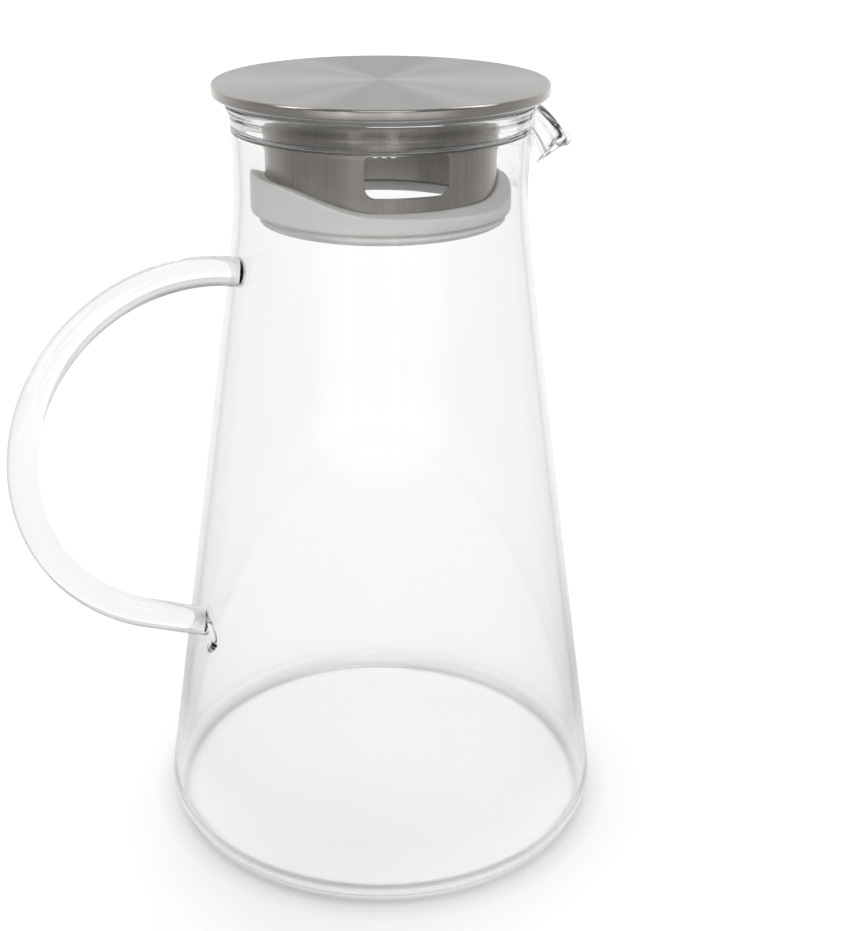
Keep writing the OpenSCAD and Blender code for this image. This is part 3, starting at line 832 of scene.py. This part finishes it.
def seen_white(nt, direction, lift, marks, near=None, front=None):
    """Level and mask. Straight and refracted rays see white; mirrored rays see a white sweep behind the pitcher
    and a darker room on the photographer's side. The mask is 0 once light has spread on a matt surface."""
    unit = node(nt, "ShaderNodeVectorMath", operation="NORMALIZE")
    nt.links.new(direction, unit.inputs[0])
    toward = node(nt, "ShaderNodeVectorMath", operation="DOT_PRODUCT")
    toward.inputs[1].default_value = (*from_camera(0, 1, 0)[:2], lift)
    nt.links.new(unit.outputs["Vector"], toward.inputs[0])
    place = map_range(nt, toward.outputs["Value"], -1.0, 1.0, 0.0, 1.0)
    room = fill_ramp(nt, marks, place)
    if near:
        room = blend_levels(nt, near, NEAR_MIRROR, room)
    if front:
        ahead = map_range(nt, place, AHEAD_FROM, AHEAD_TO, 0.0, 1.0)
        room = blend_levels(nt, maths(nt, "MULTIPLY", ahead, front), room, FRONT_MIRROR)
    level = mirrored_part(nt, room)
    lp = node(nt, "ShaderNodeLightPath")
    mask = lp.outputs["Is Camera Ray"]
    for name in ("Is Glossy Ray", "Is Transmission Ray"):
        mask = maths(nt, "MAXIMUM", mask, lp.outputs[name])
    mask = maths(nt, "MULTIPLY", mask, maths(nt, "LESS_THAN", lp.outputs["Diffuse Depth"], 0.5))
    return maths(nt, "MULTIPLY", level, mask), mask


world = bpy.data.worlds.new("studio")
bpy.context.scene.world = world
world.use_nodes = True
nt = world.node_tree
nt.nodes.clear()
wo = nt.nodes.new("ShaderNodeOutputWorld")
tc = node(nt, "ShaderNodeTexCoord")
level, seen = seen_white(nt, tc.outputs["Generated"], ROOM_LIFT, ROOM_MARKS)
# rays that thick glass bends upward see the dimmer upper room
split = node(nt, "ShaderNodeSeparateXYZ")
nt.links.new(tc.outputs["Generated"], split.inputs[0])
upper = map_range(nt, split.outputs["Z"], UPPER_FROM, UPPER_TO, 1.0, UPPER_ROOM)
lp = node(nt, "ShaderNodeLightPath")
bent = blend_levels(nt, lp.outputs["Is Transmission Ray"], 1.0, upper)
bg_seen = node(nt, "ShaderNodeBackground")
nt.links.new(maths(nt, "MULTIPLY", level, bent), bg_seen.inputs["Strength"])
bg_fill = node(nt, "ShaderNodeBackground")
set_in(bg_fill, "Color", FILL_TINT)
set_in(bg_fill, "Strength", FILL)
mix = node(nt, "ShaderNodeMixShader")
nt.links.new(seen, mix.inputs[0])
nt.links.new(bg_fill.outputs[0], mix.inputs[1])
nt.links.new(bg_seen.outputs[0], mix.inputs[2])
nt.links.new(mix.outputs[0], wo.inputs["Surface"])

corners = [(x * FLOOR_HALF, y * FLOOR_HALF, FLOOR_Z) for x, y in ((-1, -1), (1, -1), (1, 1), (-1, 1))]
floor = add_mesh("studio_floor", corners, [[0, 1, 2, 3]], smooth=False)
mat_floor, nt, out = nodes_of("studio_white")
tc = node(nt, "ShaderNodeTexCoord")
lower = node(nt, "ShaderNodeVectorMath", operation="SUBTRACT")
lower.inputs[1].default_value = (0, 0, EYE_Z)
nt.links.new(tc.outputs["Object"], lower.inputs[0])
away = node(nt, "ShaderNodeVectorMath", operation="LENGTH")
nt.links.new(tc.outputs["Object"], away.inputs[0])
away = away.outputs["Value"]
level, seen = seen_white(nt, lower.outputs["Vector"], FLOOR_LIFT, FLOOR_MARKS,
                         map_range(nt, away, NEAR_FROM, NEAR_TO, 0.0, 1.0),
                         map_range(nt, away, FRONT_FROM, FRONT_TO, 0.0, 1.0))
# painted light under the pitcher and a painted contact shadow round its foot, given as the floor's own light by
# distance from the axis
first, last = FOOT_PAINTED_LIGHT_AND_SHADOW[0][0], FOOT_PAINTED_LIGHT_AND_SHADOW[-1][0]
close = fill_ramp(nt, [((far - first) / (last - first), value) for far, value in FOOT_PAINTED_LIGHT_AND_SHADOW],
                  map_range(nt, away, first, last, 0.0, 1.0))
own = maths(nt, "ADD", close, map_range(nt, away, FAR_FROM, FAR_TO, 0.0, FAR_LIGHT))
glow = node(nt, "ShaderNodeEmission")
nt.links.new(maths(nt, "MULTIPLY", level, own), glow.inputs["Strength"])
# mirrored rays see the floor's matt part dimmed by the same share
matt = node(nt, "ShaderNodeVectorMath", operation="SCALE")
matt.inputs[0].default_value = (FLOOR_GREY, FLOOR_GREY, FLOOR_GREY)
nt.links.new(mirrored_part(nt, level), matt.inputs["Scale"])
paint = node(nt, "ShaderNodeBsdfDiffuse")
nt.links.new(matt.outputs["Vector"], paint.inputs["Color"])
both = node(nt, "ShaderNodeAddShader")
nt.links.new(paint.outputs[0], both.inputs[0])
nt.links.new(glow.outputs[0], both.inputs[1])
nt.links.new(both.outputs[0], out.inputs["Surface"])
dress(floor, mat_floor)


def area(name, place, aim, size, power):
    """Rectangular lamp of a size in m and a power in W that points from a place at another."""
    data = bpy.data.lights.new(name, "AREA")
    data.shape, data.size, data.size_y = "RECTANGLE", size[0], size[1]
    data.energy = power
    ob = bpy.data.objects.new(name, data)
    bpy.context.scene.collection.objects.link(ob)
    ob.location = place
    ob.rotation_mode = "QUATERNION"
    ob.rotation_quaternion = (Vector(aim) - Vector(place)).to_track_quat("-Z", "Y")
    return ob


sun_data = bpy.data.lights.new("soft_sky", "SUN")
sun_data.energy, sun_data.angle = 1.3, math.radians(80)
sun = bpy.data.objects.new("soft_sky", sun_data)
bpy.context.scene.collection.objects.link(sun)
sun.rotation_mode = "QUATERNION"
sun.rotation_quaternion = (-Vector(from_camera(-0.25, -0.2, 1.0))).to_track_quat("-Z", "Y")
top = area("soft_top", from_camera(0.15, 0.45, 1.6), (0, 0, 0.15), (0.5, 0.5), 5)
sun.visible_glossy = top.visible_glossy = False   # the lid's brushing would smear them into one broad fan
left = area("strip_left", from_camera(-1.1, -0.5, 1.0), (0, 0, 0.15), (0.35, 1.1), 2.6)
right = area("strip_right", from_camera(1.1, -0.3, 1.0), (0, 0, 0.15), (0.35, 1.1), 2.6)
left.visible_transmission = right.visible_transmission = False   # or they show as white patches in the glass floor
area("window_left", from_camera(-0.62, -1.45, 0.35), (0, 0, 0.13), (0.14, 0.8), 0.25)
area("window_right", from_camera(0.27, -1.55, 0.35), (0, 0, 0.13), (0.14, 0.8), 0.25)
area("front_fill", from_camera(0.1, -1.6, 1.3), (0, 0, 0.13), (1.2, 0.9), 4)

# ---------------------------------------------------------------- camera at the photograph's place
cam_data = bpy.data.cameras.new("photo_camera")
cam = bpy.data.objects.new("photo_camera", cam_data)
bpy.context.scene.collection.objects.link(cam)
bpy.context.scene.camera = cam
cam_data.lens, cam_data.sensor_width = 57.50, 36.0
cam_data.shift_x = 0.055
pitch, dist, high = 0.40780, 0.44672, 0.31230   # tilt down (radians), distance from the axis and height (m)
cam.location = (dist * math.sin(CAMERA_TURN), -dist * math.cos(CAMERA_TURN), high)
look = Vector((-math.sin(CAMERA_TURN) * math.cos(pitch), math.cos(CAMERA_TURN) * math.cos(pitch), -math.sin(pitch)))
cam.rotation_mode = "QUATERNION"
cam.rotation_quaternion = look.to_track_quat("-Z", "Y")
cam_data.clip_start, cam_data.clip_end = 0.01, 50.0

bpy.context.scene.view_settings.view_transform = "Standard"
